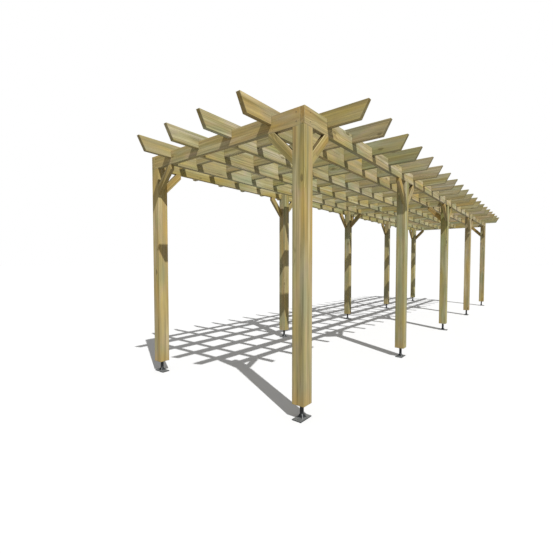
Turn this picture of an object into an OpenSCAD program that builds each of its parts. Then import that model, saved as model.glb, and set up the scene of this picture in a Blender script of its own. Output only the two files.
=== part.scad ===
// Open timber pergola: ten square posts on steel feet, side beams let into
// the posts, cross beams at both ends and in the middle, knee braces, and a
// roof grid of rafters halved into each other and notched over the beams.
// X runs along the pergola, Y across it, Z up. The origin is at the middle
// of its plan, on the ground. All sizes are in millimetres.

/* [Frame] */
// length over the outer faces of the end posts
frame_l = 9860; // [8200:10:12000]
// width over the outer faces of the posts
frame_w = 2160; // [1800:10:2700]
// height of the beams' top edge above the ground
beam_top = 2545; // [2100:5:3100]

/* [Timber] */
// side of the square posts
post_s = 120; // [100:1:144]
// thickness of the beams, rafters and braces
board_t = 45; // [36:1:54]
// depth of the beams, cross rafters and rafter tails
board_d = 145; // [120:1:175]
// play on each side of a board in its notch
joint_gap = 0.3; // [0.1:0.1:1]

/* [Roof grid] */
// distance of the first cross rafter's centre from the end posts' outer faces
cross_inset = 370; // [250:5:460]
// distance of the outer long rafters' centres from the posts' outer faces
long_inset = 360; // [280:5:450]
// height of the rafters' top edge above the beams
rafter_rise = 70; // [55:1:85]
// reach of a rafter's top edge past the posts' outer faces
overhang = 380; // [250:5:460]
// how much shorter a rafter's lower edge is at each end
end_slant = 78; // [40:1:100]

/* [Knee braces] */
// free length along post and beam inside a brace
brace_in = 190; // [150:5:260]
// width of a brace
brace_w = 80; // [60:1:100]
// height of the upright cut at a brace's upper end
brace_nose = 50; // [30:1:70]

/* [Steel feet] */
// height of the posts' lower ends above the ground
foot_h = 125; // [100:1:150]
// length of the base plate
plate_l = 160; // [140:1:200]
// width of the base plate
plate_w = 90; // [70:1:120]
// thickness of the base plate
plate_t = 8; // [5:1:12]
// diameter of the stem under the post
stem_d = 34; // [26:1:42]
// diameter of the two anchor holes
hole_d = 12; // [9:1:14]
// centre distance of the two anchor holes
hole_pitch = 120; // [110:1:130]
// thickness of the stem's fins
fin_t = 6; // [4:1:8]
// reach of a fin from the stem's surface
fin_reach = 25; // [15:1:28]
// height of a fin above the base plate
fin_h = 34; // [25:1:60]

/* [Hidden] */
$fn = 48;
bays = 4;
middle_post = bays / 2;
cross_rafters = 20;
long_rafters = 4;
rafters_per_bay = cross_rafters / bays;
cross_pitch = (frame_l - 2 * cross_inset) / (cross_rafters - 1);
long_pitch = (frame_w - 2 * long_inset) / (long_rafters - 1);
front = -1;
back = 1;
near = -1;
far = 1;
half_l = frame_l / 2;
half_w = frame_w / 2;
post_y = half_w - post_s / 2;
beam_low = beam_top - board_d;
rafter_top = beam_top + rafter_rise;
rafter_low = rafter_top - board_d;
lap_z = rafter_top - board_d / 2;
notch_w = board_t + 2 * joint_gap;
cut = 1;
brace_out = brace_in + brace_w * sqrt(2);
timber = [0.70, 0.64, 0.43];
timber_light = [0.76, 0.70, 0.48];
timber_dark = [0.60, 0.55, 0.37];
steel = [0.30, 0.31, 0.31];

function post_x(i) = -half_l + post_s / 2 + i * (frame_l - post_s) / bays;
function cross_x(i) = -half_l + cross_inset + i * cross_pitch;
function long_y(j) = -half_w + long_inset + j * long_pitch;

// a box between two opposite corners
module box(low, high) {
    translate(low) cube(high - low);
}

// extrudes an outline drawn in X and Z, centred on Y = 0
module upright_x(thickness) {
    rotate([90, 0, 0]) linear_extrude(thickness, center = true) children();
}

// extrudes an outline drawn in Y and Z, centred on X = 0
module upright_y(thickness) {
    rotate([90, 0, 90]) linear_extrude(thickness, center = true) children();
}

// an upright strip of an outline, centred on a, from z0 to z1
module strip(a, width, z0, z1) {
    translate([a - width / 2, z0]) square([width, z1 - z0]);
}

// the rebate that takes a side beam, on the post's outer face
module side_rebate(side) {
    y_in = half_w - board_t;
    mirror([0, side == front ? 1 : 0, 0])
        box([-post_s, y_in, beam_low], [post_s, half_w + cut, beam_top + cut]);
}

// the seat of a cross beam: a rebate at the ends, a slot in the middle
module cross_seat(i) {
    if (i == 0)
        box([-post_s / 2 - cut, -post_s, beam_low], [board_t - post_s / 2, post_s, beam_top + cut]);
    if (i == bays)
        box([post_s / 2 - board_t, -post_s, beam_low], [post_s / 2 + cut, post_s, beam_top + cut]);
    if (i == middle_post)
        box([-notch_w / 2, -post_s, beam_low], [notch_w / 2, post_s, beam_top + cut]);
}

module post(i, side) {
    color(timber)
    translate([post_x(i), 0, 0])
    difference() {
        translate([-post_s / 2, side * post_y - post_s / 2, foot_h])
            cube([post_s, post_s, beam_top - foot_h]);
        side_rebate(side);
        translate([0, side * post_y, 0]) cross_seat(i);
    }
}

// a steel foot: drilled base plate, round stem and four welded fins
// The middle feet and two opposite corner feet lie across the pergola
function foot_turn(i, side) =
    i == middle_post || (i == 0 && side == back) || (i == bays && side == front) ? 90 : 0;

module foot(i, side) {
    color(steel)
    translate([post_x(i), side * post_y, 0]) rotate([0, 0, foot_turn(i, side)]) {
        difference() {
            translate([-plate_l / 2, -plate_w / 2, 0]) cube([plate_l, plate_w, plate_t]);
            for (end = [near, far])
                translate([end * hole_pitch / 2, 0, -cut]) cylinder(d = hole_d, h = plate_t + 2 * cut);
        }
        translate([0, 0, plate_t]) cylinder(d = stem_d, h = foot_h - plate_t);
        for (turn = [45 : 90 : 315])
            rotate([0, 0, turn]) fin();
    }
}

module fin() {
    low_x = stem_d / 2 + fin_reach;
    upright_x(fin_t)
        polygon([[0, plate_t], [low_x, plate_t], [stem_d / 2, plate_t + fin_h], [0, plate_t + fin_h]]);
}

// half a side beam: the two halves meet over the middle post
module side_beam(side, end) {
    y_mid = side * (half_w - board_t / 2);
    color(timber_light)
    translate([end * half_l / 2, y_mid, (beam_low + beam_top) / 2])
        cube([half_l, board_t, board_d], center = true);
}

module cross_beam(x_mid) {
    color(timber_light)
    translate([x_mid, 0, (beam_low + beam_top) / 2])
        cube([board_t, frame_w - 2 * board_t, board_d], center = true);
}

// half a long rafter: as deep as the beams' lower edge inside the frame, with a
// shallower tail, notched under for the cross beams and over for the cross rafters
module long_rafter(j, end) {
    tip = half_l + overhang;
    color(timber)
    translate([0, long_y(j), 0])
    mirror([end == near ? 1 : 0, 0, 0])
    upright_x(board_t)
    difference() {
        polygon([
            [0, beam_low],
            [half_l - board_t / 2, beam_low],
            [half_l - board_t / 2, rafter_low],
            [tip - end_slant, rafter_low],
            [tip, rafter_top],
            [0, rafter_top]
        ]);
        strip(0, notch_w, beam_low - cut, beam_top);
        strip(half_l - board_t / 2, notch_w, beam_low - cut, beam_top);
        for (i = [cross_rafters / 2 : cross_rafters - 1])
            strip(cross_x(i), notch_w, lap_z, rafter_top + cut);
    }
}

// a rafter across the pergola, notched under for the side beams and the long rafters
module cross_rafter() {
    tip = half_w + overhang;
    beam_y = half_w - board_t / 2;
    upright_y(board_t)
    difference() {
        polygon([
            [-tip, rafter_top],
            [end_slant - tip, rafter_low],
            [tip - end_slant, rafter_low],
            [tip, rafter_top]
        ]);
        for (side = [front, back])
            strip(side * beam_y, notch_w, rafter_low - cut, beam_top);
        for (j = [0 : long_rafters - 1])
            strip(long_y(j), notch_w, rafter_low - cut, lap_z);
    }
}

module cross_rafters_bay(bay) {
    first = bay * rafters_per_bay;
    color(timber_dark)
    for (i = [first : first + rafters_per_bay - 1])
        translate([cross_x(i), 0, 0]) cross_rafter();
}

// outline of a knee brace: its first axis runs from the post's side along the beam
module brace_outline() {
    nose_a = brace_out - brace_nose;
    polygon([
        [0, beam_low - brace_in],
        [brace_in, beam_low],
        [nose_a, beam_low],
        [nose_a, beam_low - brace_nose],
        [0, beam_low - brace_out]
    ]);
}

// the braces along one long side, flush with the beam's outer face
module side_braces(side) {
    color(timber_dark)
    for (i = [0 : bays])
        for (end = [near, far])
            if (post_x(i) * end < post_x(bays))
                translate([post_x(i) + end * post_s / 2, side * (half_w - board_t / 2), 0])
                mirror([end == near ? 1 : 0, 0, 0])
                upright_x(board_t) brace_outline();
}

// the two braces under one cross beam
module cross_braces(x_mid) {
    color(timber_dark)
    for (side = [front, back])
        mirror([0, side == back ? 1 : 0, 0])
        translate([x_mid, post_s - half_w, 0])
        upright_y(board_t) brace_outline();
}

post(0, front);  // post_front_1
post(1, front);  // post_front_2
post(2, front);  // post_front_3
post(3, front);  // post_front_4
post(4, front);  // post_front_5
post(0, back);  // post_back_1
post(1, back);  // post_back_2
post(2, back);  // post_back_3
post(3, back);  // post_back_4
post(4, back);  // post_back_5
foot(0, front);  // foot_front_1
foot(1, front);  // foot_front_2
foot(2, front);  // foot_front_3
foot(3, front);  // foot_front_4
foot(4, front);  // foot_front_5
foot(0, back);  // foot_back_1
foot(1, back);  // foot_back_2
foot(2, back);  // foot_back_3
foot(3, back);  // foot_back_4
foot(4, back);  // foot_back_5
side_beam(front, near);  // beam_front_near
side_beam(front, far);  // beam_front_far
side_beam(back, near);  // beam_back_near
side_beam(back, far);  // beam_back_far
cross_beam(board_t / 2 - half_l);  // cross_beam_near
cross_beam(0);  // cross_beam_middle
cross_beam(half_l - board_t / 2);  // cross_beam_far
long_rafter(0, near);  // long_rafter_1_near
long_rafter(0, far);  // long_rafter_1_far
long_rafter(1, near);  // long_rafter_2_near
long_rafter(1, far);  // long_rafter_2_far
long_rafter(2, near);  // long_rafter_3_near
long_rafter(2, far);  // long_rafter_3_far
long_rafter(3, near);  // long_rafter_4_near
long_rafter(3, far);  // long_rafter_4_far
cross_rafters_bay(0);  // cross_rafters_bay_1
cross_rafters_bay(1);  // cross_rafters_bay_2
cross_rafters_bay(2);  // cross_rafters_bay_3
cross_rafters_bay(3);  // cross_rafters_bay_4
side_braces(front);  // braces_front
side_braces(back);  // braces_back
cross_braces(board_t / 2 - half_l);  // braces_near_end
cross_braces(0);  // braces_middle
cross_braces(half_l - board_t / 2);  // braces_far_end
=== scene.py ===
# Long timber pergola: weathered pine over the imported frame, on coated steel feet
import math
import random

import bmesh
import bpy
from mathutils import Matrix, Vector


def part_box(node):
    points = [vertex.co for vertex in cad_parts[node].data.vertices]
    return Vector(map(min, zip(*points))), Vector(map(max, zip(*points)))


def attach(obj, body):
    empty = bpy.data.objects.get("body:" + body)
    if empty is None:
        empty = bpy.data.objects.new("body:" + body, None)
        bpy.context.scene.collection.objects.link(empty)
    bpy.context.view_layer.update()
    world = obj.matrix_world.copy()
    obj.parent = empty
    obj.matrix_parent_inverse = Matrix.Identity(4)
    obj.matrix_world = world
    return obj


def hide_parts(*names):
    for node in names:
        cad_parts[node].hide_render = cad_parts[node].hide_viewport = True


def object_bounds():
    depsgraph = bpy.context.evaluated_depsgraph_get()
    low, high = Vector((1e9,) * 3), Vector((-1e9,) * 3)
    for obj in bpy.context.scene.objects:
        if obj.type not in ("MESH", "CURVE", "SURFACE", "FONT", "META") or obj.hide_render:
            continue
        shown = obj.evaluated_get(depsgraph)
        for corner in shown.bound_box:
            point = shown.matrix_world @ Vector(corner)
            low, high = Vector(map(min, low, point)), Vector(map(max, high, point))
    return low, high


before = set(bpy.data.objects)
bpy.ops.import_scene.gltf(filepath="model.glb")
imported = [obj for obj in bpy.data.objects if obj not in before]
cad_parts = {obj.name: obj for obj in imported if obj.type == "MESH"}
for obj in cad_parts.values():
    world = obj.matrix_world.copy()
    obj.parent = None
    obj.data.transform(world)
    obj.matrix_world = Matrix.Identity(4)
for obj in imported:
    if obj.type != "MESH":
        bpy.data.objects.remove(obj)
cadBox = [list(corner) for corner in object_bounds()]
dice = random.Random(41)
print("frame loaded,", len(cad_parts), "nodes")


def addNode(tree, kind, column, row, **settings):
    node = tree.nodes.new(kind)
    node.location = (column * 200 - 2400, row * -180)
    for name, value in settings.items():
        setattr(node, name, value)
    return node


def plug(tree, value, socket):
    if isinstance(value, bpy.types.NodeSocket):
        tree.links.new(value, socket)
    elif isinstance(value, tuple) and socket.type == "RGBA":
        socket.default_value = (*value, 1)
    else:
        socket.default_value = value


def calc(tree, column, row, kind, first, second=0.0):
    node = addNode(tree, "ShaderNodeMath", column, row, operation=kind)
    plug(tree, first, node.inputs[0])
    plug(tree, second, node.inputs[1])
    return node.outputs[0]


def blendColour(tree, column, row, kind, share, under, over):
    node = addNode(tree, "ShaderNodeMix", column, row, data_type="RGBA", blend_type=kind)
    plug(tree, share, node.inputs[0])
    plug(tree, under, node.inputs[6])
    plug(tree, over, node.inputs[7])
    return node.outputs[2]


def ramp(tree, column, row, source, stops):
    node = addNode(tree, "ShaderNodeValToRGB", column, row)
    steps = node.color_ramp.elements
    while len(steps) < len(stops):
        steps.new(0.5)
    for step, (position, colour) in zip(steps, stops):
        step.position = position
        step.color = (*colour, 1) if isinstance(colour, tuple) else (colour, colour, colour, 1)
    tree.links.new(source, node.inputs[0])
    return node.outputs[0]


def stretch(tree, column, row, source, scale):
    node = addNode(tree, "ShaderNodeMapping", column, row)
    node.inputs["Scale"].default_value = scale
    tree.links.new(source, node.inputs["Vector"])
    return node.outputs[0]


def cloud(tree, column, row, source, scale, detail=3.0, rough=0.55):
    node = addNode(tree, "ShaderNodeTexNoise", column, row)
    for name, value in (("Scale", scale), ("Detail", detail), ("Roughness", rough)):
        node.inputs[name].default_value = value
    tree.links.new(source, node.inputs["Vector"])
    return node.outputs[0]


def readAttribute(tree, column, row, name):
    return addNode(tree, "ShaderNodeAttribute", column, row, attribute_name=name)


def newMaterial(name):
    made = bpy.data.materials.new(name)
    made.use_nodes = True
    return made, made.node_tree, made.node_tree.nodes["Principled BSDF"]


pineLook = {
    "tones": [  # one is drawn for each timber
        (0.0, (0.285, 0.281, 0.13)),
        (0.2, (0.34, 0.314, 0.146)),
        (0.45, (0.362, 0.32, 0.138)),
        (0.65, (0.335, 0.308, 0.164)),
        (0.85, (0.378, 0.309, 0.153)),
        (1.0, (0.37, 0.304, 0.127)),
    ],
    "drift": [  # how the tone wanders within a timber
        (0.33, (0.90, 0.98, 0.98)),
        (0.43, (1.04, 1.05, 0.98)),
        (0.50, (1.16, 1.06, 1.12)),
        (0.57, (1.20, 1.15, 1.0)),
        (0.67, (1.12, 1.02, 0.88)),
    ],
    "heart": [  # golden heartwood to cream sapwood, across a timber
        (0.34, (1.12, 1.02, 0.74)),
        (0.45, (1.04, 1.0, 0.92)),
        (0.53, (1.08, 1.09, 1.16)),
        (0.64, (1.28, 1.34, 1.72)),
    ],
    "green": (0.20, 0.235, 0.10),  # treatment salts showing in bands
    "weathered": (0.285, 0.265, 0.18),
    "weatheredShare": 0.42,
    "resin": (0.44, 0.25, 0.045),
    "knot": (0.12, 0.095, 0.038),
    "knotDepth": 0.72,  # how strongly a knot covers the wood's own tone
    "knotRim": (0.42, 0.34, 0.24),
    "rimDepth": 0.42,
    "knotSwell": 0.02,  # how far the rings are pushed aside by a knot
    "knotFree": 0.6,  # the share of places that stay free of a knot
    "crack": (0.35, 0.30, 0.24),
    "crackDepth": 0.8,
    "cutEnd": (0.88, 0.85, 0.78),
    "pale": (0.40, 0.355, 0.19),  # rubbed corners
    "shadeAndDirt": (0.27, 0.24, 0.19),  # painted shade on the sloping tops of braces, and a weaker darkening of flat tops
    "ringGap": 0.0075,
    "ringRun": 0.09,  # how much slower the rings wander along the timber than across it
    "roughness": (0.56, 0.8),
    "relief": 0.0016,
}


def knotsInPine(tree, look, grain):
    # knots, and the grain pushed aside round them
    knots = addNode(tree, "ShaderNodeTexVoronoi", 2, -2)
    knots.inputs["Scale"].default_value = 1.0
    tree.links.new(stretch(tree, 1, -2, grain, (3.6, 9.0, 9.0)), knots.inputs["Vector"])
    picked = addNode(tree, "ShaderNodeSeparateColor", 3, -3)
    tree.links.new(knots.outputs["Color"], picked.inputs[0])
    kept = calc(tree, 4, -3, "GREATER_THAN", picked.outputs[0], look["knotFree"])
    swell = ramp(tree, 3, -2, knots.outputs["Distance"], [(0.0, 1.0), (0.16, 0.45), (0.42, 0.0)])
    swell = calc(tree, 5, -2, "MULTIPLY", swell, kept)
    push = addNode(tree, "ShaderNodeCombineXYZ", 6, -2)
    sideways = calc(tree, 5, -3, "MULTIPLY", swell, look["knotSwell"])
    tree.links.new(sideways, push.inputs[1])
    tree.links.new(sideways, push.inputs[2])
    bent = addNode(tree, "ShaderNodeVectorMath", 7, -2, operation="ADD")
    tree.links.new(grain, bent.inputs[0])
    tree.links.new(push.outputs[0], bent.inputs[1])
    knotMask = ramp(tree, 6, -4, knots.outputs["Distance"], [(0.0, 1.0), (0.06, 0.9), (0.14, 0.0)])
    knotMask = calc(tree, 7, -4, "MULTIPLY", knotMask, kept)
    knotRim = ramp(tree, 6, -5, knots.outputs["Distance"], [(0.06, 0.0), (0.1, 1.0), (0.16, 0.0)])
    knotRim = calc(tree, 7, -5, "MULTIPLY", knotRim, kept)
    return bent.outputs[0], knotMask, knotRim


def growthRings(tree, look, bentGrain):
    # rings round a pith that lies outside the timber or just inside it
    rings = addNode(tree, "ShaderNodeTexWave", 9, -1, wave_type="RINGS", rings_direction="X",
                    wave_profile="SAW")
    waveGap = 0.314  # distance of the texture's own rings at a scale of 1
    for socket, value in (("Scale", waveGap / look["ringGap"]), ("Distortion", 7.0), ("Detail", 2.5),
                          ("Detail Scale", 0.16), ("Detail Roughness", 0.55)):
        rings.inputs[socket].default_value = value
    tree.links.new(stretch(tree, 8, -1, bentGrain, (look["ringRun"], 1, 1)), rings.inputs["Vector"])
    return ramp(tree, 10, -1, rings.outputs["Fac"],
                [(0.0, (1.07, 1.07, 1.10)), (0.5, (1.0, 1.0, 0.98)), (0.86, (0.69, 0.66, 0.56)),
                 (1.0, (1.0, 0.99, 0.97))])


def pineRelief(tree, skin, look, ringShade, lines):
    # rings, fibres and streaks stand up; cracks and the rims of knots lie deeper
    fibres, streaks, crackLine, knotRim = lines
    height = calc(tree, 14, 5, "MULTIPLY", ringShade, 0.5)
    height = calc(tree, 15, 5, "ADD", height, calc(tree, 14, 6, "MULTIPLY", fibres, 0.7))
    height = calc(tree, 16, 5, "ADD", height, calc(tree, 15, 6, "MULTIPLY", streaks, 0.5))
    height = calc(tree, 17, 5, "SUBTRACT", height, calc(tree, 16, 6, "MULTIPLY", crackLine, 1.6))
    height = calc(tree, 18, 5, "SUBTRACT", height, calc(tree, 17, 6, "MULTIPLY", knotRim, 0.6))
    bump = addNode(tree, "ShaderNodeBump", 21, 5)
    bump.inputs["Strength"].default_value = 0.55
    bump.inputs["Distance"].default_value = look["relief"]
    tree.links.new(height, bump.inputs["Height"])
    tree.links.new(bump.outputs[0], skin.inputs["Normal"])


def pineMaterial(name, look, greenShare, resinShare):
    made, tree, skin = newMaterial(name)
    grain = readAttribute(tree, 0, 0, "grain").outputs["Vector"]
    reach = readAttribute(tree, 0, 6, "reach").outputs["Vector"]
    batch = addNode(tree, "ShaderNodeSeparateXYZ", 1, 4)
    tree.links.new(readAttribute(tree, 0, 4, "batch").outputs["Vector"], batch.inputs[0])
    ends = addNode(tree, "ShaderNodeSeparateXYZ", 1, 6)
    tree.links.new(reach, ends.inputs[0])
    endCut = readAttribute(tree, 0, 8, "endCut").outputs["Fac"]
    arris = readAttribute(tree, 0, 9, "arris").outputs["Fac"]
    shadeAndDirt = readAttribute(tree, 0, 10, "shadeAndDirt").outputs["Fac"]

    bentGrain, knotMask, knotRim = knotsInPine(tree, look, grain)
    ringShade = growthRings(tree, look, bentGrain)
    streaks = cloud(tree, 2, 0, stretch(tree, 1, 0, grain, (1.1, 46.0, 46.0)), 1.0, 3.0, 0.6)
    fibres = cloud(tree, 2, 1, stretch(tree, 1, 1, grain, (9.0, 330.0, 330.0)), 1.0, 3.0, 0.65)
    bands = cloud(tree, 2, 2, stretch(tree, 1, 2, grain, (0.55, 15.0, 15.0)), 1.0, 2.0, 0.5)
    patches = cloud(tree, 2, 3, stretch(tree, 1, 3, grain, (1.4, 5.0, 5.0)), 1.0, 4.0, 0.6)
    cracks = cloud(tree, 3, 8, stretch(tree, 2, 8, grain, (1.6, 210.0, 210.0)), 1.0, 1.0, 0.4)

    tone = ramp(tree, 3, 4, batch.outputs[0], look["tones"])
    drift = cloud(tree, 2, 5, stretch(tree, 1, 5, grain, (1.9, 7.0, 7.0)), 1.0, 2.0, 0.5)
    tone = blendColour(tree, 9, 0, "MULTIPLY", 1.0, tone, ramp(tree, 4, 6, drift, look["drift"]))
    heart = cloud(tree, 2, 7, stretch(tree, 1, 7, bentGrain, (1.2, 13.0, 13.0)), 1.0, 2.0, 0.5)
    tone = blendColour(tree, 10, 0, "MULTIPLY", 1.0, tone, ramp(tree, 4, 7, heart, look["heart"]))
    colour = blendColour(tree, 11, 0, "MULTIPLY", 1.0, tone, ringShade)
    colour = blendColour(tree, 12, 0, "MULTIPLY", 0.9, colour,
                         ramp(tree, 4, 0, streaks, [(0.28, (0.60, 0.61, 0.52)), (0.5, 0.98), (0.72, 1.27)]))
    colour = blendColour(tree, 13, 0, "MULTIPLY", 0.8, colour,
                         ramp(tree, 4, 1, fibres, [(0.3, (0.86, 0.85, 0.80)), (0.7, 1.08)]))
    greenBand = ramp(tree, 4, 2, bands, [(0.44, 0.0), (0.66, 1.0)])
    greenMuch = calc(tree, 4, 4, "MULTIPLY", batch.outputs[1], greenShare)
    greenBand = calc(tree, 5, 2, "MULTIPLY", greenBand, greenMuch)
    colour = blendColour(tree, 14, 0, "MIX", greenBand, colour, look["green"])
    grey = ramp(tree, 4, 3, patches, [(0.42, 0.0), (0.72, 1.0)])
    grey = calc(tree, 5, 3, "MULTIPLY", grey, look["weatheredShare"])
    colour = blendColour(tree, 15, 0, "MIX", grey, colour, look["weathered"])

    # resin drawn to the cut ends
    nearEnd = calc(tree, 2, 6, "MINIMUM", ends.outputs[0], ends.outputs[1])
    nearEnd = ramp(tree, 3, 6, nearEnd, [(0.0, 1.0), (0.05, 0.7), (0.16, 0.0)])
    blotch = ramp(tree, 4, 5, patches, [(0.4, 0.0), (0.62, 1.0)])
    upper = ramp(tree, 4, 9, ends.outputs[2], [(0.25, 0.15), (0.95, 1.0)])
    nearEnd = calc(tree, 4, 10, "MULTIPLY", nearEnd, upper)
    resin = calc(tree, 6, 6, "MULTIPLY", calc(tree, 5, 6, "MULTIPLY", nearEnd, blotch), resinShare)
    colour = blendColour(tree, 16, 0, "MIX", resin, colour, look["resin"])

    knotDepth = calc(tree, 8, -4, "MULTIPLY", knotMask, look["knotDepth"])
    colour = blendColour(tree, 17, 0, "MIX", knotDepth, colour, look["knot"])
    rimDepth = calc(tree, 8, -5, "MULTIPLY", knotRim, look["rimDepth"])
    colour = blendColour(tree, 18, 0, "MULTIPLY", rimDepth, colour, look["knotRim"])
    crackLine = ramp(tree, 4, 8, cracks, [(0.655, 0.0), (0.685, 1.0)])
    crackLine = calc(tree, 6, 8, "MULTIPLY", crackLine, ramp(tree, 5, 9, patches, [(0.5, 0.0), (0.6, 1.0)]))
    crackDepth = calc(tree, 7, 8, "MULTIPLY", crackLine, look["crackDepth"])
    colour = blendColour(tree, 19, 0, "MULTIPLY", crackDepth, colour, look["crack"])
    colour = blendColour(tree, 20, 0, "MULTIPLY", endCut, colour, look["cutEnd"])
    # painted shade darkens the sloping tops of braces in patches, and flat tops a little
    shadedAndSoiled = calc(tree, 7, 10, "MULTIPLY", shadeAndDirt, ramp(tree, 5, 11, patches, [(0.3, 0.8), (0.7, 1.0)]))
    colour = blendColour(tree, 22, 0, "MULTIPLY", shadedAndSoiled, colour, look["shadeAndDirt"])
    rubbed = calc(tree, 7, 9, "MULTIPLY", arris, ramp(tree, 5, 10, streaks, [(0.35, 0.15), (0.7, 0.75)]))
    colour = blendColour(tree, 21, 0, "MIX", rubbed, colour, look["pale"])
    tree.links.new(colour, skin.inputs["Base Color"])

    low, high = look["roughness"]
    tree.links.new(ramp(tree, 20, 3, fibres, [(0.3, low), (0.7, high)]), skin.inputs["Roughness"])
    skin.inputs["Specular IOR Level"].default_value = 0.32

    pineRelief(tree, skin, look, ringShade, (fibres, streaks, crackLine, knotRim))
    return made


steelLook = {
    "coat": (0.045, 0.048, 0.050),
    "dust": (0.25, 0.255, 0.245),
    "bare": (0.16, 0.16, 0.16),  # rubbed corners
    "thinDust": 0.55,  # share of the dust that lies where it is thinnest
    "roughness": (0.42, 0.62),
    "metallic": 0.35,
    "relief": 0.0004,
}


def steelMaterial(name, look, dustShare):
    made, tree, skin = newMaterial(name)
    place = addNode(tree, "ShaderNodeNewGeometry", 0, 0)
    arris = readAttribute(tree, 0, 3, "arris").outputs["Fac"]
    grit = cloud(tree, 2, 0, place.outputs["Position"], 900.0, 2.0, 0.5)
    smear = cloud(tree, 2, 2, place.outputs["Position"], 26.0, 4.0, 0.6)
    facing = addNode(tree, "ShaderNodeSeparateXYZ", 2, 4)
    tree.links.new(place.outputs["Normal"], facing.inputs[0])
    upward = ramp(tree, 3, 4, facing.outputs[2], [(0.35, 0.0), (0.9, 1.0)])
    settled = ramp(tree, 4, 2, smear, [(0.3, dustShare * look["thinDust"]), (0.7, dustShare)])
    dust = calc(tree, 5, 3, "MULTIPLY", upward, settled)
    colour = blendColour(tree, 6, 1, "MIX", dust, look["coat"], look["dust"])
    worn = calc(tree, 5, 5, "MULTIPLY", arris, ramp(tree, 4, 5, smear, [(0.42, 0.0), (0.6, 0.8)]))
    colour = blendColour(tree, 7, 1, "MIX", worn, colour, look["bare"])
    tree.links.new(colour, skin.inputs["Base Color"])
    low, high = look["roughness"]
    tree.links.new(ramp(tree, 6, 3, smear, [(0.3, low), (0.7, high)]), skin.inputs["Roughness"])
    skin.inputs["Metallic"].default_value = look["metallic"]
    bump = addNode(tree, "ShaderNodeBump", 7, 4)
    bump.inputs["Strength"].default_value = 0.25
    bump.inputs["Distance"].default_value = look["relief"]
    tree.links.new(grit, bump.inputs["Height"])
    tree.links.new(bump.outputs[0], skin.inputs["Normal"])
    return made


postPine = pineMaterial("postPine", pineLook, 0.7, 0.42)
beamPine = pineMaterial("beamPine", pineLook, 0.4, 0.8)
rafterTones = [(place, (tone[0] * 0.985, tone[1], tone[2] * 1.14)) for place, tone in pineLook["tones"]]
rafterPine = pineMaterial("rafterPine", {**pineLook, "tones": rafterTones}, 0.4, 0.15)
braceTones = [(0.0, (0.345, 0.262, 0.105)), (0.5, (0.36, 0.27, 0.10)), (1.0, (0.33, 0.275, 0.115))]
bracePine = pineMaterial("bracePine", {**pineLook, "tones": braceTones}, 0.3, 0.45)
footSteel = steelMaterial("footSteel", steelLook, 0.75)
screwSteel = steelMaterial("screwSteel", steelLook, 0.2)
print("materials made")


def separateTimbers(bm):
    # groups of joined vertices, one for each timber
    left = set(bm.verts)
    while left:
        group, waiting = set(), [min(left, key=lambda vert: vert.index)]
        while waiting:
            vert = waiting.pop()
            if vert not in group:
                group.add(vert)
                waiting.extend(edge.other_vert(vert) for edge in vert.link_edges)
        left -= group
        yield sorted(group, key=lambda vert: vert.index)


def easeCorners(bm, ease, segments):
    # rounds every outer corner, and marks the rounding for the worn look
    arris = bm.faces.layers.float.new("arris")
    cornerAngle = 0.45  # radians; the facets of a round stem meet at less
    corners = [edge for edge in bm.edges if edge.is_manifold and edge.is_convex
               and edge.calc_face_angle() > cornerAngle]
    made = bmesh.ops.bevel(bm, geom=corners, offset=ease, offset_type="OFFSET", segments=segments,
                           profile=0.5, affect="EDGES", clamp_overlap=True)
    for face in made["faces"]:
        face[arris] = 1.0
        face.smooth = True
    bm.verts.index_update()


def cleanCopy(nodeName):
    bm = bmesh.new()
    bm.from_mesh(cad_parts[nodeName].data)
    bmesh.ops.remove_doubles(bm, verts=bm.verts, dist=0.00002)  # 0.02 mm
    bmesh.ops.dissolve_limit(bm, angle_limit=math.radians(0.5), verts=bm.verts, edges=bm.edges)
    return bm


def finishPiece(bm, pieceName, material, slotName, *nodeNames):
    mesh = bpy.data.meshes.new(pieceName)
    bm.to_mesh(mesh)
    bm.free()
    mesh.materials.append(material)
    piece = bpy.data.objects.new(pieceName, mesh)
    bpy.context.collection.objects.link(piece)
    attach(piece, "root")
    if nodeNames:
        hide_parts(*nodeNames)
    return piece


def wearTops(bm, depth):
    # the rain has taken a little off the top edges, so that screw heads stand out
    top = max(vert.co.z for vert in bm.verts)
    for vert in bm.verts:
        if vert.co.z > top - 0.0001:
            vert.co.z = top - depth


sawing = {
    "ease": 0.0028,  # rounding of a planed timber's corners
    "segments": 2,
    "pithReach": (0.02, 0.13),  # how far the heart of the tree lies from the timber's middle
    "topWear": 0.0009,
    "flatShadeAndDirt": 0.3,  # darkening of flat tops, against 1 for the painted shade on the sloping top of a brace
}


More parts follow.
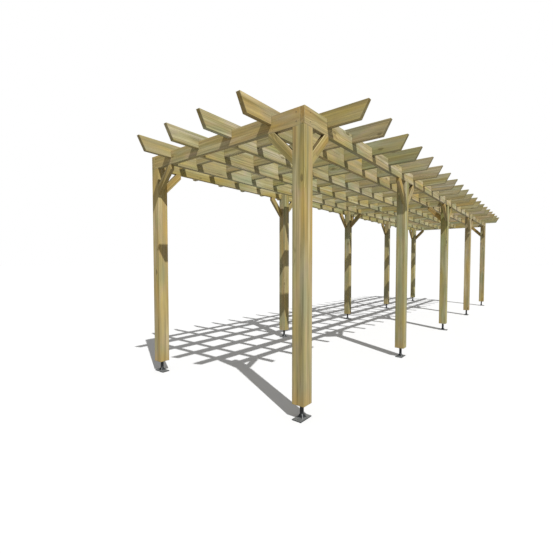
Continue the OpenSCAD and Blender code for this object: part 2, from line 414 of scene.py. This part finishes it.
def sawTimbers(nodeName, pieceName, material, slotName, topWear=0.0):
    bm = cleanCopy(nodeName)
    if topWear:
        wearTops(bm, topWear)
    easeCorners(bm, sawing["ease"], sawing["segments"])
    grain = bm.verts.layers.float_vector.new("grain")
    reach = bm.verts.layers.float_vector.new("reach")
    batch = bm.verts.layers.float_vector.new("batch")
    endCut = bm.faces.layers.float.new("endCut")
    shadeAndDirt = bm.faces.layers.float.new("shadeAndDirt")
    arris = bm.faces.layers.float["arris"]
    for timber in separateTimbers(bm):
        edges = {edge for vert in timber for edge in vert.link_edges}
        longest = max(edges, key=lambda edge: (round(edge.calc_length(), 4), -edge.index))
        along = (longest.verts[1].co - longest.verts[0].co).normalized()
        across = along.cross(Vector((0, 0, 1)) if abs(along.z) < 0.9 else Vector((0, 1, 0))).normalized()
        upright = along.cross(across)
        middle = sum((vert.co for vert in timber), Vector()) / len(timber)
        spans = [(vert.co - middle).dot(along) for vert in timber]
        first, last = min(spans), max(spans)
        low = min(vert.co.z for vert in timber)
        high = max(vert.co.z for vert in timber)
        side = dice.uniform(0, math.tau)
        pith = dice.uniform(*sawing["pithReach"])
        start = dice.uniform(0, 60)
        drawn = Vector((dice.random(), dice.random(), dice.random()))
        for vert, span in zip(timber, spans):
            offset = vert.co - middle
            vert[grain] = (start + span, offset.dot(across) + pith * math.cos(side),
                           offset.dot(upright) + pith * math.sin(side))
            share = 1.0 if abs(along.z) > 0.9 else (vert.co.z - low) / (high - low)
            vert[reach] = (span - first, last - span, share)
            vert[batch] = drawn
        for face in {face for vert in timber for face in vert.link_faces}:
            face[endCut] = 1.0 if abs(face.normal.dot(along)) > 0.6 else 0.0
            if face.normal.z > 0.9:
                face[shadeAndDirt] = sawing["flatShadeAndDirt"]
            elif face.normal.z > 0.5 and not face[arris]:
                face[shadeAndDirt] = 1.0  # painted shade on the sloping top of a brace
    return finishPiece(bm, pieceName, material, slotName, nodeName)


sides = ("front", "back")
ends = ("near", "far")

for side in sides:
    for number in range(1, 6):
        sawTimbers(f"post_{side}_{number}", f"post.{side}.{number}", postPine, "post_timber")
print("posts sawn")

for side in sides:
    for end in ends:
        sawTimbers(f"beam_{side}_{end}", f"sideBeam.{side}.{end}", beamPine, "beam_timber")
for place in ("near", "middle", "far"):
    sawTimbers(f"cross_beam_{place}", f"crossBeam.{place}", beamPine, "beam_timber")
print("beams sawn")

for row in range(1, 5):
    for end in ends:
        sawTimbers(f"long_rafter_{row}_{end}", f"longRafter.{row}.{end}", rafterPine,
                   "long_rafter_timber", sawing["topWear"])
for bay in range(1, 5):
    sawTimbers(f"cross_rafters_bay_{bay}", f"crossRafters.bay.{bay}", rafterPine,
               "cross_rafter_timber", sawing["topWear"])
print("rafters sawn")

for place in ("front", "back", "near_end", "middle", "far_end"):
    sawTimbers(f"braces_{place}", f"kneeBraces.{place}", bracePine, "brace_timber")
print("braces sawn")


weld = {
    "bead": 0.0026,
    "ripples": 0.0011,  # a quarter of the distance between the ripples of a bead
    "rippling": 0.14,  # share of the bead's radius
    "taper": 0.45,  # of the radius, at both ends of a bead
    "sides": 8,
}


def weldBead(bm, points):
    # a thin rippled tube along the points
    rings = []
    travelled = 0.0
    finish = len(points) - 1
    for index, point in enumerate(points):
        ahead = (points[min(index + 1, finish)] - points[max(index - 1, 0)]).normalized()
        outward = ahead.cross(Vector((0, 0, 1)) if abs(ahead.z) < 0.9 else Vector((1, 0, 0))).normalized()
        upward = ahead.cross(outward)
        travelled += (point - points[index - 1]).length if index else 0
        ripple = weld["rippling"] * math.sin(math.tau * travelled / (weld["ripples"] * 4))
        swell = weld["bead"] * (1 + ripple)
        if index in (0, finish):
            swell *= weld["taper"]
        rings.append([bm.verts.new(point + swell * (math.cos(turn) * outward + math.sin(turn) * upward))
                      for turn in (math.tau * step / weld["sides"] for step in range(weld["sides"]))])
    for one, two in zip(rings, rings[1:]):
        for step in range(weld["sides"]):
            after = (step + 1) % weld["sides"]
            face = bm.faces.new((one[step], one[after], two[after], two[step]))
            face.smooth = True
    bm.faces.new(list(reversed(rings[0])))
    bm.faces.new(rings[-1])


foot = {
    "ease": 0.0012,
    "segments": 2,
    "plateThick": 0.008,
    "stem": 0.034,
    "finThick": 0.006,
    "finReach": 0.025,
    "finHigh": 0.034,
    "plateBeadPoints": 24,
    "stemBeadPoints": 34,
    "roundBead": (17, 73, 12),  # from and to, in degrees past a fin, and the number of points
}


def line(start, end, count):
    return [start.lerp(end, step / (count - 1)) for step in range(count)]


def forgeFoot(nodeName, pieceName):
    bm = cleanCopy(nodeName)
    easeCorners(bm, foot["ease"], foot["segments"])
    low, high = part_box(nodeName)
    centre = Vector(((low.x + high.x) / 2, (low.y + high.y) / 2, low.z))
    plateTop = foot["plateThick"]
    stemSide, finTip = foot["stem"] / 2, foot["stem"] / 2 + foot["finReach"]
    halfFin = foot["finThick"] / 2
    seam = math.sqrt(stemSide ** 2 - halfFin ** 2)  # where a fin's face meets the round stem
    firstTurn, lastTurn, points = foot["roundBead"]
    for quarter in range(4):
        turn = Matrix.Rotation((quarter + 0.5) * math.pi / 2, 3, "Z")
        for hand in (-1, 1):  # both faces of a fin: along the plate, then up the stem
            inner = centre + turn @ Vector((stemSide + 0.002, hand * halfFin, plateTop))
            outer = centre + turn @ Vector((finTip - 0.003, hand * halfFin, plateTop))
            weldBead(bm, line(inner, outer, foot["plateBeadPoints"]))
            lower = centre + turn @ Vector((seam, hand * halfFin, plateTop + 0.002))
            upper = centre + turn @ Vector((seam, hand * halfFin, plateTop + foot["finHigh"] - 0.003))
            weldBead(bm, line(lower, upper, foot["stemBeadPoints"]))
        bead = []
        for step in range(points):
            angle = math.radians(firstTurn + (lastTurn - firstTurn) * step / (points - 1))
            bead.append(centre + turn @ Vector((math.cos(angle) * stemSide, math.sin(angle) * stemSide,
                                                plateTop)))
        weldBead(bm, bead)
    bm.normal_update()
    return finishPiece(bm, pieceName, footSteel, "foot_steel", nodeName)


for side in sides:
    for number in range(1, 6):
        forgeFoot(f"foot_{side}_{number}", f"foot.{side}.{number}")
print("feet forged")


screw = {
    "head": 0.0050,  # radius
    "proud": 0.0007,
    "lobes": 6,
    "recess": 0.0024,
    "deep": 0.0016,
    "seated": 0.0008,  # how far the head's rim starts below the wood
    "points": 24,  # round the head
    "fromEdge": 0.036,  # from a beam's top and bottom edges
    "fromCorner": 0.0825,
    "fromJoint": 0.02,  # from the joint of two beams over the middle post
    "wander": 0.006,  # how far a rafter's screw may miss its centre line
    "beamWander": 0.005,
}


def driveScrew(bm, place, outward):
    # a countersunk head with a six lobed recess, facing outward
    face = outward.to_track_quat("Z", "Y").to_matrix() @ Matrix.Rotation(dice.uniform(0, math.tau), 3, "Z")
    points = screw["points"]

    def ringOf(radius, height, lobed=0.0):
        ring = []
        for step in range(points):
            turn = math.tau * step / points
            wide = radius * (1 + lobed * math.cos(screw["lobes"] * turn))
            spot = Vector((wide * math.cos(turn), wide * math.sin(turn), height))
            ring.append(bm.verts.new(place + face @ spot))
        return ring

    rings = [
        ringOf(screw["head"], -screw["seated"]),
        ringOf(screw["head"], screw["proud"] * 0.35),
        ringOf(screw["head"] * 0.86, screw["proud"]),
        ringOf(screw["recess"] * 1.12, screw["proud"] * 0.8, 0.12),
        ringOf(screw["recess"], screw["proud"] * 0.8 - screw["deep"], 0.14),
    ]
    for one, two in zip(rings, rings[1:]):
        for step in range(points):
            after = (step + 1) % points
            made = bm.faces.new((one[step], one[after], two[after], two[step]))
            made.smooth = True
    bm.faces.new(rings[-1])


def screwPiece(pieceName, spots):
    bm = bmesh.new()
    for place, outward in spots:
        driveScrew(bm, place, outward)
    return finishPiece(bm, pieceName, screwSteel, "foot_steel")


def beamScrews():
    # two heads, one over the other, wherever a beam is let into a post
    spots = []
    for side in sides:
        outward = Vector((0, -1 if side == "front" else 1, 0))
        beamLow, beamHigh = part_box(f"beam_{side}_near")
        face = beamLow.y if side == "front" else beamHigh.y
        for number in range(1, 6):
            low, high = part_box(f"post_{side}_{number}")
            across = (low.x + high.x) / 2
            if number == 1:
                across = low.x + screw["fromCorner"]
            if number == 5:
                across = high.x - screw["fromCorner"]
            # each half beam has its own pair over the middle post
            shifts = (-screw["fromJoint"], screw["fromJoint"]) if number == 3 else (0,)
            for shift in shifts:
                for height in (beamLow.z + screw["fromEdge"], beamHigh.z - screw["fromEdge"]):
                    spots.append((Vector((across + shift, face, height)), outward))
    for place, way in (("near", -1), ("far", 1)):
        low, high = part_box(f"cross_beam_{place}")
        face = low.x if way < 0 else high.x
        for side in sides:
            postLow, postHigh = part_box(f"post_{side}_1")
            frontCorner, backCorner = postLow.y + screw["fromCorner"], postHigh.y - screw["fromCorner"]
            across = frontCorner if side == "front" else backCorner
            for height in (low.z + screw["fromEdge"], high.z - screw["fromEdge"]):
                spots.append((Vector((face, across, height)), Vector((way, 0, 0))))
    return spots


def rafterLines():
    # centre lines of the cross rafters in x and of the long rafters in y
    rafterLow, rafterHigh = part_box("long_rafter_1_near")
    thick = rafterHigh.y - rafterLow.y
    crossings = []
    for bay in range(1, 5):
        low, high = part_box(f"cross_rafters_bay_{bay}")
        pitch = (high.x - low.x - thick) / 4
        crossings += [low.x + thick / 2 + step * pitch for step in range(5)]
    rows = [sum(corner.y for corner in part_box(f"long_rafter_{row}_near")) / 2 for row in range(1, 5)]
    return crossings, rows


def rafterScrews():
    # one head on top of every halved crossing, and one over every beam
    crossings, rows = rafterLines()
    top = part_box("cross_rafters_bay_1")[1].z - sawing["topWear"]
    upward = Vector((0, 0, 1))
    wander, beamWander = screw["wander"], screw["beamWander"]
    spots = []
    for x in crossings:
        for y in rows:
            drawnX, drawnY = dice.uniform(-wander, wander), dice.uniform(-wander, wander)
            spots.append((Vector((x + drawnX, y + drawnY, top)), upward))
        for side in sides:
            low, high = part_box(f"beam_{side}_near")
            drawnX = dice.uniform(-beamWander, beamWander)
            spots.append((Vector((x + drawnX, (low.y + high.y) / 2, top)), upward))
    for place in ends:
        low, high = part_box(f"cross_beam_{place}")
        for y in rows:
            drawnY = dice.uniform(-beamWander, beamWander)
            spots.append((Vector(((low.x + high.x) / 2, y + drawnY, top)), upward))
    return spots


screwPiece("screws.beams", beamScrews())
screwPiece("screws.rafters", rafterScrews())
print("screws driven")


studio = {
    "floor": (0.64, 0.64, 0.64),
    "bounce": (0.28, 0.28, 0.28),  # what the floor gives back to the timbers
    "sunFrom": (-0.265, -0.520, 0.812),
    "sunStrength": 4.6,
    "sunSpread": 0.6,  # degrees
    "skyStrength": 0.43,
    "backdrop": 1.0,
    "floorReach": 150,
    "floorGap": 0.0005,  # below the base plates
}


def layFloor():
    bm = bmesh.new()
    reach = studio["floorReach"]
    for x, y in ((-reach, -reach), (reach, -reach), (reach, reach), (-reach, reach)):
        bm.verts.new((x, y, cadBox[0][2] - studio["floorGap"]))
    bm.faces.new(bm.verts)
    mesh = bpy.data.meshes.new("floor")
    bm.to_mesh(mesh)
    bm.free()
    floor = bpy.data.objects.new("floor", mesh)
    bpy.context.collection.objects.link(floor)
    made, tree, skin = newMaterial("paleFloor")
    seen = addNode(tree, "ShaderNodeLightPath", 8, 0)
    colour = blendColour(tree, 10, 0, "MIX", seen.outputs["Is Camera Ray"], studio["bounce"], studio["floor"])
    tree.links.new(colour, skin.inputs["Base Color"])
    skin.inputs["Roughness"].default_value = 0.9
    skin.inputs["Specular IOR Level"].default_value = 0.0
    mesh.materials.append(made)


def lightStudio():
    lamp = bpy.data.lights.new("sun", "SUN")
    lamp.energy = studio["sunStrength"]
    lamp.angle = math.radians(studio["sunSpread"])
    sun = bpy.data.objects.new("sun", lamp)
    sun.rotation_mode = "QUATERNION"
    sun.rotation_quaternion = Vector(studio["sunFrom"]).to_track_quat("Z", "Y")
    bpy.context.collection.objects.link(sun)
    world = bpy.data.worlds.new("studio")
    world.use_nodes = True
    tree = world.node_tree
    sky = tree.nodes["Background"]
    sky.inputs["Color"].default_value = (1, 1, 1, 1)
    sky.inputs["Strength"].default_value = studio["skyStrength"]
    backdrop = addNode(tree, "ShaderNodeBackground", 2, 2)
    backdrop.inputs["Color"].default_value = (1, 1, 1, 1)
    backdrop.inputs["Strength"].default_value = studio["backdrop"]
    seen = addNode(tree, "ShaderNodeLightPath", 2, 0)
    choice = addNode(tree, "ShaderNodeMixShader", 4, 0)
    tree.links.new(seen.outputs["Is Camera Ray"], choice.inputs[0])
    tree.links.new(sky.outputs[0], choice.inputs[1])
    tree.links.new(backdrop.outputs[0], choice.inputs[2])
    tree.links.new(choice.outputs[0], tree.nodes["World Output"].inputs[0])
    bpy.context.scene.world = world
    bpy.context.scene.view_settings.view_transform = "Standard"


eye = {
    "beyondNear": 1.893,  # outside the rafter tails of the near end
    "beyondFront": 1.148,
    "height": 1.301,
    "looking": (0.7814, 0.6227, -0.0396),
    "lens": 22.22,
    "sensor": 36,
    "farthest": 500,
}


def standCamera():
    lens = bpy.data.cameras.new("camera")
    lens.lens = eye["lens"]
    lens.sensor_width = eye["sensor"]
    lens.clip_end = eye["farthest"]
    camera = bpy.data.objects.new("camera", lens)
    camera.location = (cadBox[0][0] - eye["beyondNear"], cadBox[0][1] - eye["beyondFront"], eye["height"])
    camera.rotation_euler = Vector(eye["looking"]).to_track_quat("-Z", "Y").to_euler()
    bpy.context.collection.objects.link(camera)
    bpy.context.scene.camera = camera


layFloor()
lightStudio()
standCamera()
print("studio set")
